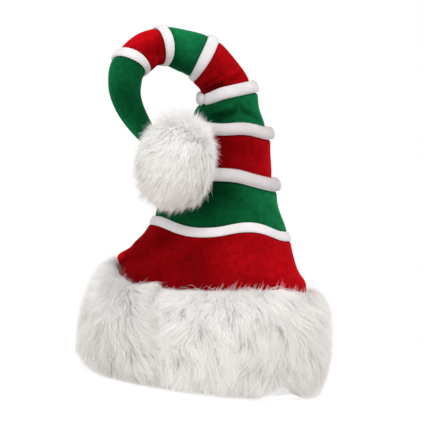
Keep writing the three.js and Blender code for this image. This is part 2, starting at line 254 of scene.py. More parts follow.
# The way the fur lies round the cuff: the angle, and the degrees from straight down, to the left of the hat.
CUFF_HEADINGS = table(
    (0, -8), (35, -14), (70, 12), (95, -4), (125, -28), (155, -16), (185, 10), (270, 0), (360, -8)
)
CUFF_SWIRLS = [(30, 0.045, 3), (55, 0.02, 7)]  # degrees, size, seed
CUFF_CALM = ([0.6, 0.9], [1, 0.4])  # swirls are less near the floor
CUFF_TANGLE = 16  # degrees that single strands stray by
# How far the fur lies over: the share of the way down that it starts at, and that it lies over.
CUFF_LIE = table((0, 0.17), (0.08, 0.15), (0.25, 0.17), (0.55, 0.19), (0.8, 0.14), (1, 0.04))
LIE_WAVES = {"share": 0.3, "size": 0.03, "single": 0.1}
CUFF_GROWTH = {"base": 0.93, "wave": 0.1, "size": 0.022, "single": 0.03, "long": 0.32}
CUFF_LIMITS = (0.65, 1.32)
CUFF_BEND = {"rise": 0.52, "stray": 0.07}  # as shares of a strand's length
CUFF_LOCKS = {"big": 160, "small": 24, "pull": (0.25, 0.53)}
CUFF_HOLD = ([0.7, 1], [1, 0.35])  # locks are looser near the floor
# Painted shade: the fur is painted darker low down and at the right.
CUFF_SHADE = {"tone": 0.9, "low": 0.85, "side": 0.35, "angle": 10, "spread": 75}
FUR_REACH = 150.0  # the way down the cuff over its fur
FUR_PER_DEGREE = 2.0  # the way round the cuff, over its fur
FLOOR_CLEARANCE = 0.0006
FLOOR_FRINGE = 0.002  # how unevenly the lowest tips end
CUFF_FACING = 1.2  # how far strands face outwards rather than up from the backing
FUR_STRAY = 0.0018  # how far single tips stand out of their lock
FUR_WHITENESS = (0.89, 0.871, 0.842)  # a single strand is lighter than a whole coat looks
POMPOM_WHITENESS = (0.89, 0.878, 0.845)

POMPOM_CENTRE = MM * np.array([-52.0, -85.0, 221.0]) + SHIFT
POMPOM_HALF = MM * np.array([40.5, 39.5, 49.0])
POMPOM_FLOW = np.array([-0.42, -0.4, -0.82])  # the way the fur is brushed
POMPOM_CORE = 0.75  # the size of the core as a share of the fur's
POMPOM_CROWDING = 1.5  # roots stand closer where the fur is parted
POMPOM_BRUSHED = 0.3  # how far the fur is brushed over
POMPOM_LOOSE = {"size": 0.13, "above": 0.14, "brushed": 0.25, "growth": 0.06}  # tufts that stand out more
POMPOM_RIM = (0.0, 0.8)  # the fur is smooth where it faces further to the front, and in sharp locks elsewhere
POMPOM_PARTED = ([0.2, 0.7], [1, 0.3])  # locks are less sharp near the parting
POMPOM_SWAY = {"share": 0.12, "broad": 0.6, "fine": 0.22, "mix": 0.6, "single": 0.09}
POMPOM_GROWTH = {"base": 0.95, "wave": 0.04, "size": 0.3, "single": 0.02, "long": 0.22}
POMPOM_LIMITS = (0.78, 1.24)
POMPOM_WIDTH = 1.1  # of a strand, as a share of the cuff's
POMPOM_BEND = {"rise": 0.48, "stray": 0.06}
POMPOM_LOCKS = {"big": 170, "small": 24}
POMPOM_PULL = {"big": 0.15, "smooth": 0.24, "sharp": 0.5}
POMPOM_NEAT = 0.7  # how much less single tips stray out of sharp locks
POMPOM_SHADE = {"tone": 0.85, "up": 0.5}  # painted light and shade: lighter where it faces up, darker where it faces down
POMPOM_LUMPS = {"depth": 0.05, "number": 3}  # of the core
# Longer fur at the top right, and shorter fur where the tip is sewn in.
POMPOM_PATCHES = [
    {"way": np.array([0.66, -0.2, 0.73]), "spread": 0.4, "growth": 0.1},
    {"way": np.array([-0.75, 0.36, 0.56]), "spread": 0.75, "growth": -0.24},
]

NAP_AND_PAINTED_LIGHT = "nap_and_painted_light"  # how light the velour is painted: painted light and shade, partly brushed nap, and a random mottle
STRAND_MAP = "OFBake"  # tone across and root to tip upwards
STRAND_STEPS = np.array([0.0, 0.36, 0.72, 1.0])
NAP_STEPS = np.array([0.0, 1.0])
NAP_WIDTH = 0.00034
NAP_COVER = 0.8  # how much of a piping's section has nap, out of 2
NAP_STRAY = 0.7
STRAND_TAPER = 1.6
LONG_SKEW = 4  # a higher number makes long strands rarer
TONE_SPREAD = 0.4
MAP_PLACE = {"margin": 0.02, "across": 0.008}
LOCK_BENDS = {"big": 0.5, "small": 0.45}  # how far the bends of strands follow their tips
LEAST_PULL = 0.55
FREE_STRANDS = 0.05  # the share that no lock draws in
EVEN_STEPS = (0.7548776662466927, 0.5698402909980532)  # from one root to the next, across and down a square


def colour_setting(name, description, slot):
    """A colour that starts as the record's."""
    return FloatVectorProperty(
        name=name, description=description, subtype="COLOR", min=0, max=1, default=SLOT_COLOURS[slot]
    )


def number_setting(name, description, default, **limits):
    """A number with its unit and limits."""
    return FloatProperty(name=name, description=description, default=default, **limits)


def count_setting(name, description, default):
    """A number of strands."""
    return IntProperty(name=name, description=description, default=default, min=1000)


class HatSizes(bpy.types.PropertyGroup):
    """Sizes of the cloth and the fur."""

    cloth: number_setting("Cloth", "Thickness of the velour", 0.0022, unit="LENGTH", min=0.001, max=0.003)
    fur_width: number_setting("Fur width", "Width of a strand of fur", 0.00046, unit="LENGTH", min=0.0002)
    nap_length: number_setting("Nap", "Length of the piping's nap", 0.001, unit="LENGTH", min=0.0005)
    cuff_strands: count_setting("Cuff strands", "Strands of fur in each quarter of the cuff", 34000)
    pompom_strands: count_setting("Pompom strands", "Strands of fur on the pompom", 36000)
    nap_strands: count_setting("Nap strands", "Strands of nap on all the piping", 90000)


class HatColours(bpy.types.PropertyGroup):
    """Colours of the cloth and the fur."""

    red: colour_setting("Red", "Red velour", "red_velour")
    green: colour_setting("Green", "Green velour", "green_velour")
    piping: colour_setting("Piping", "Plush piping", "white_piping")
    fur: colour_setting("Fur", "Long fur", "white_fur")


class HatStage(bpy.types.PropertyGroup):
    """Light and camera."""

    sky: number_setting("Sky", "Strength of the light from all round", 0.9, min=0)
    key: number_setting("Key light", "Power of the large light above", 14.0, unit="POWER", min=0)
    fill: number_setting("Fill light", "Power of the light on the left", 3.0, unit="POWER", min=0)
    roll: number_setting("Camera roll", "Turn of the camera", math.radians(7), subtype="ANGLE")


# Surfaces of the crown


def section_at(level):
    """The columns of SECTIONS between its rows, on a smooth curve through them."""
    level = np.asarray(level, float)
    row = np.clip(np.floor(level).astype(int), 0, LAST_ROW - 1)
    share = (level - row)[..., None]

    def at(index):
        return SECTIONS[np.clip(index, 0, LAST_ROW)]

    start, end = at(row), at(row + 1)
    leave = (end - at(row - 1)) / 2
    arrive = (at(row + 2) - start) / 2
    square = 3 * (end - start) - 2 * leave - arrive
    cube = 2 * (start - end) + leave + arrive
    return start + share * (leave + share * (square + share * cube))


def hump(distance):
    """1 at 0, and 0 from 1 outwards."""
    near = np.clip(np.abs(distance), 0, 1)
    return np.cos(near * np.pi / 2) ** 2


def turn_between(start, end):
    """Degrees from one angle to another, the short way round."""
    return (end - start + 180) % 360 - 180


def beside(angle, middle, spread):
    """1 at the middle angle, and 0 from the spread outwards."""
    return hump(turn_between(angle, middle) / spread)


def patches(level, angle, table):
    """How near these places are to each row of a table that starts with level, reach, angle and spread."""
    near = hump((level[..., None] - table[:, 0]) / table[:, 1])
    return near * beside(angle[..., None], table[:, 2], table[:, 3])


def unit(vectors):
    """The same vectors, one long."""
    return vectors / np.linalg.norm(vectors, axis=-1, keepdims=True)


def skin(level, angle, grown=0.0):
    """Points of the crown's outer face, with grown millimetres added all round."""
    level, angle, grown = np.broadcast_arrays(np.asarray(level, float), angle, grown)
    columns = section_at(level)
    centre = columns[..., :3]
    lean, turn = np.radians(columns[..., LEAN]), np.radians(columns[..., TURN])
    half, depth = columns[..., HALF], columns[..., DEPTH]
    axis = np.stack([-np.sin(lean) * np.cos(turn), -np.sin(turn), np.cos(lean) * np.cos(turn)], -1)
    front = unit(FRONT - axis * (axis @ FRONT)[..., None])
    side = np.cross(axis, front)
    share = patches(level, angle, FOLDS)
    lift = share @ FOLDS[:, 4]
    swell = grown + share @ FOLDS[:, 5]
    around = np.radians(angle)
    sideways = ((half + swell) * np.cos(around))[..., None] * side
    forwards = ((half * depth + swell) * np.sin(around))[..., None] * front
    return MM * (centre + sideways + forwards + lift[..., None] * axis) + SHIFT


def face(level, angle):
    """The way along the crown, the way out of it, and the millimetres in one row."""
    step = 0.02
    along = skin(level + step, angle) - skin(level - step, angle)
    around = skin(level, angle + 1) - skin(level, angle - 1)
    per_row = np.linalg.norm(along, axis=-1) / (2 * step * MM)
    return unit(along), unit(np.cross(along, around)), per_row


def ripple(points, size, seed):
    """Smooth noise from -1 to 1 at each point, with features of this size."""
    offset = Vector((seed * 3.7, seed * 5.3, seed * 7.9))
    return np.array([noise.noise(Vector(point) / size + offset) for point in points])


def creases(level, angle, per_row):
    """Millimetres that the creases press the cloth in by, with a soft lip above each."""
    per_degree = np.radians(section_at(level)[..., HALF])
    pressed = np.zeros_like(level)
    for start, from_angle, end, to_angle, depth, width in CREASES:
        run = np.stack([(end - start) * per_row, turn_between(from_angle, to_angle) * per_degree], -1)
        way = np.stack([(level - start) * per_row, turn_between(from_angle, angle) * per_degree], -1)
        share = np.clip((run * way).sum(-1) / (run * run).sum(-1), 0, 1)
        away = (way - share[..., None] * run) / width
        lip = away - [CREASE_LIP["away"], 0]
        fade = 1 - np.abs(2 * share - 1) ** 4
        raised = CREASE_LIP["height"] * np.exp(-(lip**2).sum(-1))
        pressed += depth * fade * (np.exp(-(away**2).sum(-1)) - raised)
    return pressed


def nap_and_painted_light(level, angle, points, pressed):
    """How light the nap is painted at each point, from 0 to 1: painted light and shade, partly brushed nap, a
    random mottle and painted shade in the creases.
    """
    # painted light and shade of the patches, partly brushed nap
    brushed = patches(level, angle, NAP_AND_LIGHT_PATCHES) @ NAP_AND_LIGHT_PATCHES[:, 4]
    # painted light: the right side is lighter
    painted_side_light = SIDE_LIGHT["base"] + SIDE_LIGHT["share"] * beside(angle, SIDE_LIGHT["angle"], SIDE_LIGHT["spread"])
    mottle = MOTTLE["share"] * ripple(points, MOTTLE["size"], 17)
    # painted shade in the creases is taken off the tone
    return painted_side_light + brushed + mottle - CREASE_SHADE * pressed


# Mesh helpers


def ring(bm, points):
    """A closed loop of edges through these points."""
    made = bmesh.ops.create_circle(bm, segments=len(points), radius=1.0)["verts"]
    for vertex, point in zip(made, points):
        vertex.co = point
    return [bm.edges.get((made[index - 1], made[index])) for index in range(len(made))]


def tube(bm, rings, is_closed=False):
    """A skin over rings of points, joined back to the first ring where it is closed."""
    loops = [ring(bm, points) for points in rings]
    pairs = list(zip(loops, loops[1:]))
    if is_closed:
        pairs.append((loops[-1], loops[0]))
    for lower, upper in pairs:
        bmesh.ops.bridge_loops(bm, edges=lower + upper)
    return loops


def angles_round(row):
    """The angles of a ring's points, for a piece that ends at this row."""
    segments = CROWN_SEGMENTS if row <= LAST_STANDING_ROW else CROOK_SEGMENTS
    return np.arange(segments) * 360.0 / segments


def closed_mesh(rings, name):
    """The mesh of a tube that joins back to its first ring."""
    bm = bmesh.new()
    tube(bm, rings, is_closed=True)
    bmesh.ops.recalc_face_normals(bm, faces=bm.faces[:])
    return finished_mesh(bm, name)


def face_outwards(bm, middle_of):
    """Turns the faces of an open tube away from its middle."""
    bm.normal_update()
    outward = 0
    for item in bm.faces:
        outward += (item.calc_center_median() - middle_of).dot(item.normal) * item.calc_area()
    if outward < 0:
        bmesh.ops.reverse_faces(bm, faces=bm.faces[:])


def finished_mesh(bm, name):
    """The mesh of a bmesh, with smooth faces."""
    for item in bm.faces:
        item.smooth = True
    mesh = bpy.data.meshes.new(name)
    bm.to_mesh(mesh)
    bm.free()
    return mesh


def dress(mesh, slot, material, *nodes):
    """A piece of the hat, in place of these solids."""
    piece = bpy.data.objects.new(mesh.name, mesh)
    bpy.context.scene.collection.objects.link(piece)
    mesh.materials.append(material)
    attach(piece, BODY)
    if nodes:
        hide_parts(*nodes)
    return piece


def add_smoothing(piece, levels=1):
    """A subdivision surface over the piece."""
    smooth = piece.modifiers.new("Smooth", "SUBSURF")
    smooth.levels = levels
    smooth.render_levels = levels


# Strands


def strand_spines(roots, bends, tips, steps):
    """Curves from each root, by its bend, to its tip."""
    share = steps[None, :, None]
    start = (1 - share) ** 2 * roots[:, None]
    middle = 2 * share * (1 - share) * bends[:, None]
    return start + middle + share**2 * tips[:, None]


def strand_mesh(name, spines, outward, widths, steps, tones, rng, turn):
    """One mesh of tapered ribbons that face outwards, each turned a little about its own line."""
    count, points, _ = spines.shape
    tangents = unit(np.gradient(spines, axis=1))
    side = unit(np.cross(tangents, outward[:, None]))
    lift = np.cross(tangents, side)
    angle = rng.normal(0, turn, count)[:, None, None]
    side = side * np.cos(angle) + lift * np.sin(angle)
    taper = (1 - steps**STRAND_TAPER)[None, :, None]
    half = side * taper * widths[:, None, None] / 2
    pairs = points - 1
    edges = np.stack([spines[:, :pairs] - half[:, :pairs], spines[:, :pairs] + half[:, :pairs]], 2)
    vertices = np.concatenate([edges.reshape(count, 2 * pairs, 3), spines[:, -1:]], 1)
    per_strand = 2 * pairs + 1
    quads = [(2 * row, 2 * row + 1, 2 * row + 3, 2 * row + 2) for row in range(pairs - 1)]
    end = (2 * pairs - 2, 2 * pairs - 1, 2 * pairs)
    corners = np.array([corner for item in [*quads, end] for corner in item])
    sizes = np.array([4] * (pairs - 1) + [3])
    starts = np.concatenate([[0], np.cumsum(sizes)[:-1]])
    loops = (corners[None] + per_strand * np.arange(count)[:, None]).ravel()
    faces = (starts[None] + len(corners) * np.arange(count)[:, None]).ravel()
    mesh = bpy.data.meshes.new(name)
    mesh.vertices.add(count * per_strand)
    mesh.vertices.foreach_set("co", vertices.astype(np.float32).ravel())
    mesh.loops.add(len(loops))
    mesh.loops.foreach_set("vertex_index", loops.astype(np.int32))
    mesh.polygons.add(len(faces))
    mesh.polygons.foreach_set("loop_start", faces.astype(np.int32))
    mesh.polygons.foreach_set("use_smooth", np.ones(len(faces), bool))
    mesh.update(calc_edges=True)
    heights = np.concatenate([np.repeat(steps[:pairs], 2), steps[-1:]])[corners]
    across = np.where(corners == 2 * pairs, 0, np.where(corners % 2, 1, -1)) * MAP_PLACE["across"]
    layer = mesh.uv_layers.new(name=STRAND_MAP)
    low, span = MAP_PLACE["margin"], 1 - 2 * MAP_PLACE["margin"]
    places = np.stack(np.broadcast_arrays(low + span * tones[:, None] + across, low + span * heights), -1)
    layer.uv.foreach_set("vector", places.astype(np.float32).ravel())
    return mesh


def add_strands(name, slot, material, strands, ways, widths, tones, steps, rng, turn):
    """A piece of fur or nap. strands has the roots, bends and tips."""
    spines = strand_spines(*strands, steps)
    dress(strand_mesh(name, spines, ways, widths, steps, tones, rng, turn), slot, material)


def nearest(points, places):
    """The index of the place nearest to each point."""
    tree = kdtree.KDTree(len(places))
    for index, place in enumerate(places):
        tree.insert(place, index)
    tree.balance()
    return np.array([tree.find(point)[1] for point in points])


def spread_evenly(count, start):
    """Pairs of numbers from 0 to 1 that fill the square evenly."""
    index = np.arange(count) + start
    return [(index * step) % 1 for step in EVEN_STEPS]


def uneven_growth(places, growth, seed, rng):
    """Lengths of strands as shares, in waves, a little uneven, with a few long ones that lead locks."""
    waves = growth["wave"] * ripple(places, growth["size"], seed)
    grown = growth["base"] + waves + growth["single"] * rng.normal(0, 1, len(places))
    return grown + growth["long"] * rng.random(len(places)) ** LONG_SKEW


def curved(roots, tips, ways, bend, rng):
    """Bends of strands that leave their roots in these ways."""
    length = np.linalg.norm(tips - roots, axis=1)[:, None]
    rise = np.broadcast_to(bend["rise"], len(roots))[:, None]
    return roots + rise * length * ways + bend["stray"] * length * rng.normal(0, 1, roots.shape)


def gather_tips(roots, bends, tips, rng, big, small, pull):
    """Draws the strands together into locks, and the locks into larger ones."""
    count = len(roots)
    leaders = rng.choice(count, count // big, replace=False)
    seconds = rng.choice(count, count // small, replace=False)
    led = leaders[nearest(roots[seconds], roots[leaders])]
    second_tips = tips[seconds] + pull[0] * (tips[led] - tips[seconds])
    second_bends = bends[seconds] + LOCK_BENDS["big"] * pull[0] * (bends[led] - bends[seconds])
    own = nearest(roots, roots[seconds])
    strength = (pull[1] * (LEAST_PULL + (1 - LEAST_PULL) * rng.random(count)))[:, None]
    strength[rng.random(count) < FREE_STRANDS] = 0
    tips = tips + strength * (second_tips[own] - tips)
    bends = bends + LOCK_BENDS["small"] * strength * (second_bends[own] - bends)
    return bends, tips


def varied(count, rng):
    """Factors from 0.7 to 1.3."""
    return 0.7 + 0.6 * rng.random(count)


def varied_tones(tones, rng):
    """These tones with lighter and darker ones among them, from 0 to 1."""
    return np.clip(tones + TONE_SPREAD * (rng.random(len(tones)) - 0.5), 0, 1)


# Materials


def new_material(name):
    """A material with an empty node tree, and its shader and output."""
    material = bpy.data.materials.new(name)
    material.use_nodes = True
    tree = material.node_tree
    tree.nodes.clear()
    output = tree.nodes.new("ShaderNodeOutputMaterial")
    shader = tree.nodes.new("ShaderNodeBsdfPrincipled")
    tree.links.new(shader.outputs["BSDF"], output.inputs["Surface"])
    return material, tree, shader


def set_surface(shader, roughness, specular, sheen=0.0, sheen_roughness=0.5):
    """Sets how rough and shiny a shader is, and the sheen of its nap."""
    shader.inputs["Roughness"].default_value = roughness
    shader.inputs["Specular IOR Level"].default_value = specular
    shader.inputs["Sheen Weight"].default_value = sheen
    shader.inputs["Sheen Roughness"].default_value = sheen_roughness


def blend(tree, first, second, factor):
    """Puts a mix of two shaders on the surface. factor is a number or an output."""
    output = next(node for node in tree.nodes if node.type == "OUTPUT_MATERIAL")
    mix = tree.nodes.new("ShaderNodeMixShader")
    if isinstance(factor, float):
        mix.inputs["Fac"].default_value = factor
    else:
        tree.links.new(factor, mix.inputs["Fac"])
    tree.links.new(first.outputs[0], mix.inputs[1])
    tree.links.new(second.outputs[0], mix.inputs[2])
    tree.links.new(mix.outputs["Shader"], output.inputs["Surface"])


def noise_node(tree, scale, detail, roughness):
    """A noise texture on the object's own coordinates."""
    place = tree.nodes.new("ShaderNodeTexCoord")
    node = tree.nodes.new("ShaderNodeTexNoise")
    node.inputs["Scale"].default_value = scale
    node.inputs["Detail"].default_value = detail
    node.inputs["Roughness"].default_value = roughness
    tree.links.new(place.outputs["Object"], node.inputs["Vector"])
    return node.outputs["Fac"]


def ramp_node(tree, factor, stops):
    """A colour ramp through (place, colour) stops."""
    node = tree.nodes.new("ShaderNodeValToRGB")
    elements = node.color_ramp.elements
    for index, (place, colour) in enumerate(stops):
        element = elements[index] if index < 2 else elements.new(place)
        element.position = place
        element.color = (*colour, 1)
    tree.links.new(factor, node.inputs["Fac"])
    return node.outputs["Color"]


def product_node(tree, first, second):
    """Two colours multiplied."""
    node = tree.nodes.new("ShaderNodeMix")
    node.data_type = "RGBA"
    node.blend_type = "MULTIPLY"
    node.inputs[0].default_value = 1.0
    tree.links.new(first, node.inputs[6])
    tree.links.new(second, node.inputs[7])
    return node.outputs[2]


def bump_node(tree, height, distance, strength, below=None):
    """A bump of this depth in metres, over another one."""
    node = tree.nodes.new("ShaderNodeBump")
    node.inputs["Strength"].default_value = strength
    node.inputs["Distance"].default_value = distance
    tree.links.new(height, node.inputs["Height"])
    if below is not None:
        tree.links.new(below, node.inputs["Normal"])
    return node.outputs["Normal"]


def scaled(colour, factor):
    """A colour made lighter or darker."""
    return tuple(min(1.0, part * factor) for part in colour)


def whiter(colour, shares):
    """A colour with these shares of the way to white added to its parts."""
    return tuple(part + share * (1 - part) for part, share in zip(colour, shares))


def velour_material(name, colour, glow):
    """Velour: a short nap with painted light and shade in patches, partly brushed nap, and a sheen that is
    brighter at a slant.
    """
    material, tree, shader = new_material(name)
    # painted light and shade of the nap, from the attribute that each band carries
    brushed = tree.nodes.new("ShaderNodeAttribute")
    brushed.attribute_name = NAP_AND_PAINTED_LIGHT
    mottle = noise_node(tree, 170, 4, 0.6)
    nap = noise_node(tree, 1900, 2, 0.7)
    shades = [(0.0, scaled(colour, 0.2)), (1.0, scaled(colour, 1.27))]
    shaded = ramp_node(tree, brushed.outputs["Fac"], shades)
    flecks = ramp_node(tree, mottle, [(0.32, (0.74, 0.74, 0.74)), (0.68, (1.1, 1.1, 1.1))])
    tree.links.new(product_node(tree, shaded, flecks), shader.inputs["Base Color"])
    soft = bump_node(tree, mottle, 0.0005, 0.3)
    tree.links.new(bump_node(tree, nap, 0.0004, 0.4, soft), shader.inputs["Normal"])
    set_surface(shader, roughness=0.9, specular=0.0, sheen=0.3, sheen_roughness=0.35)
    shader.inputs["Sheen Tint"].default_value = (*glow, 1)
    return material


def pile_material(name, colour, shades, clouds, pile, bump):
    """White pile in two shades. clouds and pile are noises, and bump is how far the pile stands out."""
    material, tree, shader = new_material(name)
    dull, light = (scaled(colour, shade) for shade in shades)
    tint = ramp_node(tree, noise_node(tree, *clouds), [(0.3, dull), (0.7, light)])
    tree.links.new(tint, shader.inputs["Base Color"])
    tree.links.new(bump_node(tree, noise_node(tree, *pile), *bump), shader.inputs["Normal"])
    return material, shader


def plush_material(name, colour):
    """Short white plush with a faint unevenness."""
    clouds, nap = (60, 3, 0.5), (1100, 3, 0.7)
    material, shader = pile_material(name, colour, (0.79, 0.88), clouds, nap, (0.0005, 0.6))
    set_surface(shader, roughness=0.9, specular=0.15, sheen=0.3)
    return material


def pelt_material(name, colour):
    """The dense undercoat below the long fur."""
    tufts = (160, 4, 0.65)
    material, shader = pile_material(name, colour, (0.8, 1.02), tufts, tufts, (0.003, 0.8))
    set_surface(shader, roughness=0.95, specular=0.1)
    return material


def strand_material(name, colour, root, darkest, clear):
    """Strands that let some light through, with lighter and darker ones among them: a random tone, and on the
    fur also painted light and shade.
    """
    material, tree, shader = new_material(name)
    layer = tree.nodes.new("ShaderNodeUVMap")
    layer.uv_map = STRAND_MAP
    parts = tree.nodes.new("ShaderNodeSeparateXYZ")
    tree.links.new(layer.outputs["UV"], parts.inputs["Vector"])
    length = ramp_node(tree, parts.outputs["Y"], [(0.0, scaled(colour, root)), (0.5, colour)])
    tones = ramp_node(tree, parts.outputs["X"], [(0.0, darkest), (1.0, (1, 1, 1))])
    tint = product_node(tree, length, tones)
    tree.links.new(tint, shader.inputs["Base Color"])
    set_surface(shader, roughness=0.7, specular=0.2)
    through = tree.nodes.new("ShaderNodeBsdfTranslucent")
    tree.links.new(tint, through.inputs["Color"])
    blend(tree, shader, through, clear)
    return material


def floor_material(name):
    """A pale floor that fades out into white, with a light of its own that softens the shadow."""
    material, tree, shader = new_material(name)
    place = tree.nodes.new("ShaderNodeTexCoord").outputs["Object"]
    distance = tree.nodes.new("ShaderNodeVectorMath")
    distance.operation = "LENGTH"
    tree.links.new(place, distance.inputs[0])
    fade = tree.nodes.new("ShaderNodeMapRange")
    fade.interpolation_type = "SMOOTHSTEP"
    fade.inputs["From Min"].default_value = 0.2
    fade.inputs["From Max"].default_value = 0.7
    tree.links.new(distance.outputs["Value"], fade.inputs["Value"])
    clear = tree.nodes.new("ShaderNodeBsdfTransparent")
    blend(tree, shader, clear, fade.outputs["Result"])
    shader.inputs["Base Color"].default_value = (0.5, 0.5, 0.5, 1)
    shader.inputs["Roughness"].default_value = 0.9
    shader.inputs["Emission Color"].default_value = (1, 1, 1, 1)
    shader.inputs["Emission Strength"].default_value = 0.65
    return material


# Velour bands


def roll_at(row, angles):
    """The half thickness and the height of a piping, which are less on the inner side of the curl."""
    roll, proud = SECTIONS[row, ROLL], SECTIONS[row, PROUD]
    inner = beside(angles, ROLL_PINCH["angle"], ROLL_PINCH["spread"]) * (row > LAST_STANDING_ROW)
    kink = beside(angles, ROLL_KINK["angle"], ROLL_KINK["spread"]) * (row == ROLL_KINK["row"])
    roll = roll * (1 - ROLL_KINK["along"] * kink)
    proud = proud * (1 - ROLL_KINK["out"] * kink)
    return roll * (1 - ROLL_PINCH["along"] * inner), proud * (1 - ROLL_PINCH["out"] * inner)


def seam_edge(row, angles, way):
    """A band's edge where it is drawn in under a piping, and the level where its shoulder starts."""
    roll, _ = roll_at(row, angles)
    level = np.full_like(angles, row)
    along, out, per_row = face(level, angles)
    depth = TUCK_DEPTH * SECTIONS[row, ROLL]
    clear = ROLL_EDGE + 0.2 * roll
    edge = skin(level, angles) + MM * (way * clear[:, None] * along - depth * out)
    shoulder = row + way * np.minimum(TUCK_LENGTH[way] * roll / per_row, LONGEST_TUCK)
    return edge, shoulder


def band_rings(band):
    """Rings of points up a band, from its lower edge to its upper one, and the tone of the nap at each, with
    its painted light and shade.
    """
    first, last = band["first"], band["last"]
    angles = angles_round(last)
    low, high = np.full_like(angles, first), np.full_like(angles, last)
    lower_edge = upper_edge = None
    if SECTIONS[first, ROLL]:
        lower_edge, low = seam_edge(first, angles, 1)
    if SECTIONS[last, ROLL]:
        upper_edge, high = seam_edge(last, angles, -1)
    middles = section_at(np.linspace(first, last, 40))[:, :3]
    length = np.linalg.norm(np.diff(middles, axis=0), axis=1).sum()
    count = max(LEAST_RINGS, round(length / RING_STEP))
    rings, tones = [], []
    for share in np.linspace(0, 1, count):
        level = low + share * (high - low)
        along, out, per_row = face(level, angles)
        flat = skin(level, angles)
        from_low = (level - first) * per_row if lower_edge is not None else np.full_like(angles, FAR)
        from_high = (last - level) * per_row if upper_edge is not None else np.full_like(angles, FAR)
        near = np.minimum(from_low, from_high)
        seam = first if (from_low < from_high).mean() > 0.5 else last
        gathers = ripple(skin(np.full_like(angles, seam), angles), PUCKER["size"], seam)
        grown = SAG["depth"] * ripple(flat, SAG["size"], 11)
        faded = np.maximum(near - PUCKER["start"], 0) / PUCKER["fade"]
        grown += PUCKER["depth"] * gathers * np.exp(-faded)
        if lower_edge is not None and upper_edge is not None:
            grown += PUFF * np.sin(np.pi * share)
        grown += STEP["share"] * SECTIONS[last, PROUD] * np.exp(-((from_high / STEP["reach"]) ** 2))
        if first <= LAST_STANDING_ROW:
            grown -= STEP["share"] * SECTIONS[first, PROUD] * np.exp(-((from_low / STEP["reach"]) ** 2))
        grown *= np.clip((level - CUFF_ROW) * 2, 0, 1)
        pressed = creases(level, angles, per_row)
        rings.append(flat + MM * (grown - pressed)[:, None] * out)
        tones.append(nap_and_painted_light(level, angles, flat, pressed))
    if lower_edge is not None:
        rings.insert(0, lower_edge)
        tones.insert(0, tones[0])
    if upper_edge is not None:
        rings.append(upper_edge)
        tones.append(tones[-1])
    return rings, tones


class HAT_OT_velour_bands(bpy.types.Operator):
    """Sews the red and green velour bands of the crown"""

    bl_idname = "hat.velour_bands"
    bl_label = "Velour Bands"

    def execute(self, context):
        sizes, colours = context.scene.hat_sizes, context.scene.hat_colours
        materials = {
            "red_velour": velour_material("Red velour", colours.red, (1.0, 0.04, 0.05)),
            "green_velour": velour_material("Green velour", colours.green, (0.12, 0.9, 0.42)),
        }
        for band in BANDS:
            rings, tones = band_rings(band)
            bm = bmesh.new()
            loops = tube(bm, rings)
            layer = bm.verts.layers.float.new(NAP_AND_PAINTED_LIGHT)
            for vertex, tone in zip(bm.verts, np.concatenate(tones)):
                vertex[layer] = tone
            if band["last"] == LAST_ROW:
                bmesh.ops.edgeloop_fill(bm, edges=loops[-1])
            face_outwards(bm, Vector(np.mean(np.concatenate(rings), axis=0)))
            mesh = finished_mesh(bm, band["name"])
            piece = dress(mesh, band["slot"], materials[band["slot"]], band["node"])
            wall = piece.modifiers.new("Wall", "SOLIDIFY")
            wall.thickness = sizes.cloth
            wall.offset = -1
            add_smoothing(piece)
        return {"FINISHED"}


# Piping


def roll_section(row, angles, place):
    """Points round a piping, from one sewn edge (-1) over its crest (0) to the other (1), and ways out."""
    roll, proud = roll_at(row, angles)
    stations = np.linspace(0, 1, len(ROLL_CORNERS) + 1)
    along_shares = [corner[0] for corner in ROLL_CORNERS] + [ROLL_EDGE / SECTIONS[row, ROLL]]
    out_shares = [corner[1] for corner in ROLL_CORNERS] + [-TUCK_DEPTH - SEWN_DEPTH]
    sideways = np.sign(place) * np.interp(np.abs(place), stations, along_shares) * roll
    height = np.interp(np.abs(place), stations, out_shares)
    height = height * np.where(height > 0, proud, roll)
    level = np.full(len(angles), float(row))
    along, out, _ = face(level, angles)
    points = skin(level, angles) + MM * (sideways[:, None] * along + height[:, None] * out)
    sunk = 0.4 * roll
    ways = unit(sideways[:, None] * along + (height + sunk)[:, None] * out)
    lumps = ROLL_LUMPS["depth"] * ripple(points, ROLL_LUMPS["size"], row) * np.clip(height / roll + 0.5, 0, 1)
    return points + MM * lumps[:, None] * out, ways


def piping_rings(row):
    """Rings of points round a piping, from one sewn edge over its crest to the other."""
    angles = angles_round(row)
    places = np.linspace(-1, 1, 2 * len(ROLL_CORNERS) + 1)
    return [roll_section(row, angles, np.full_like(angles, place))[0] for place in places]


def piping_nap(count, length, rng):
    """Roots, bends, tips, outward ways and widths of the nap on every piping."""
    shares = SECTIONS[SEAM_ROWS, HALF] * SECTIONS[SEAM_ROWS, ROLL]
    roots, ways, lengths = [], [], []
    for row, strands in zip(SEAM_ROWS, np.round(count * shares / shares.sum()).astype(int)):
        turn, across = spread_evenly(strands, 1)
        points, outward = roll_section(row, 360 * turn, NAP_COVER * (across - 0.5))
        roots.append(points)
        ways.append(outward)
        lengths.append(np.full(strands, length * SECTIONS[row, PROUD] / SECTIONS[:, PROUD].max()))
    roots, ways, lengths = np.concatenate(roots), np.concatenate(ways), np.concatenate(lengths)
    stray = unit(rng.normal(0, 1, roots.shape))
    widths = NAP_WIDTH * lengths / length
    lengths *= varied(len(roots), rng)
    tips = roots + lengths[:, None] * unit(ways + NAP_STRAY * stray)
    return roots, (roots + tips) / 2, tips, ways, widths


